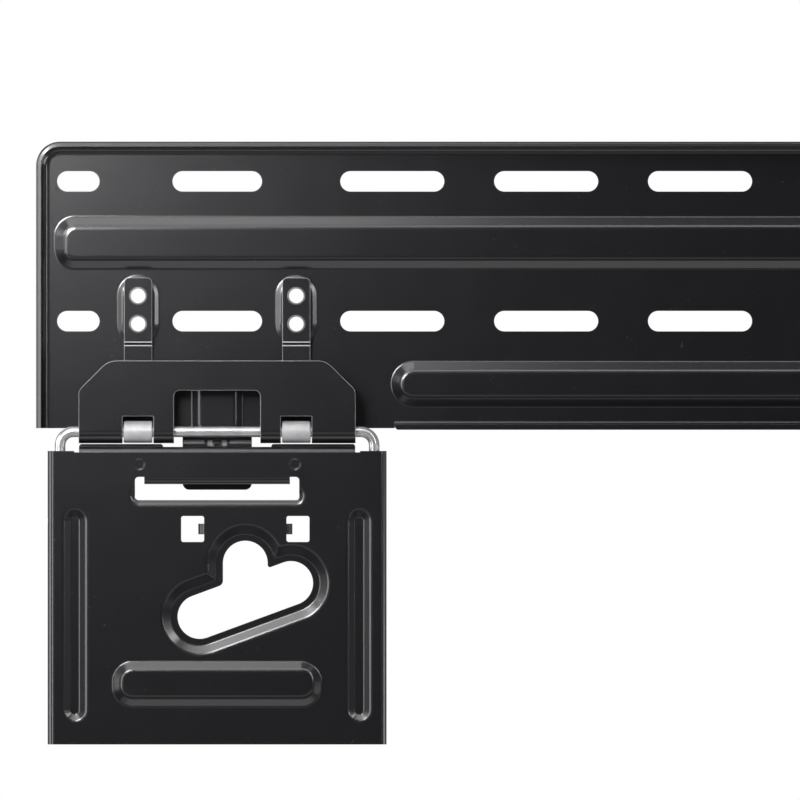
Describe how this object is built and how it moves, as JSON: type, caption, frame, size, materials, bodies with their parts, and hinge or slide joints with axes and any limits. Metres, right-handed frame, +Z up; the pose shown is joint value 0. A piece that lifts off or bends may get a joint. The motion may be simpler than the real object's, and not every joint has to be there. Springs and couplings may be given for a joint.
{
  "type": "tv wall mount",
  "caption": "Slim steel wall mount for a flat television: a slotted, beaded wall plate carries hanger plates on wire hinges, each with a dished ring hole.",
  "frame": {"origin": "middle of the wall plate's back, on the wall", "axes": "+X along the wall plate to the right as seen from the room, +Z up, -Y out of the wall into the room"},
  "size_m": [0.584, 0.016, 0.265],
  "materials": {
    "black_paint": "satin black powder coat",
    "bracket_paint": "satin black coat, worn bright along the cut edges",
    "bright_plating": "bright zinc plating"
  },
  "bodies": {
    "wall_bar": {"wall_plate": "black_paint", "left_hinge_bracket": "bracket_paint", "right_hinge_bracket": "bracket_paint", "left_outer_upper_eyelet": "bracket_paint", "left_outer_lower_eyelet": "bracket_paint", "left_inner_upper_eyelet": "bracket_paint", "left_inner_lower_eyelet": "bracket_paint", "right_outer_upper_eyelet": "bracket_paint", "right_outer_lower_eyelet": "bracket_paint", "right_inner_upper_eyelet": "bracket_paint", "right_inner_lower_eyelet": "bracket_paint"},
    "left_hanger": {"left_hanger_plate": "black_paint", "left_hinge_wire": "bright_plating", "left_outer_bush": "bright_plating", "left_inner_bush": "bright_plating"},
    "right_hanger": {"right_hanger_plate": "black_paint", "right_hinge_wire": "bright_plating", "right_outer_bush": "bright_plating", "right_inner_bush": "bright_plating"}
  },
  "joints": [
    {"name": "left_hanger_swing", "type": "hinge", "parent": "wall_bar", "child": "left_hanger", "pos_m": [-0.2124, -0.00885, -0.0646], "axis": [-1, 0, 0], "range_deg": [0, 90]},
    {"name": "right_hanger_swing", "type": "hinge", "parent": "wall_bar", "child": "right_hanger", "pos_m": [0.2124, -0.00885, -0.0646], "axis": [-1, 0, 0], "range_deg": [0, 90]}
  ]
}
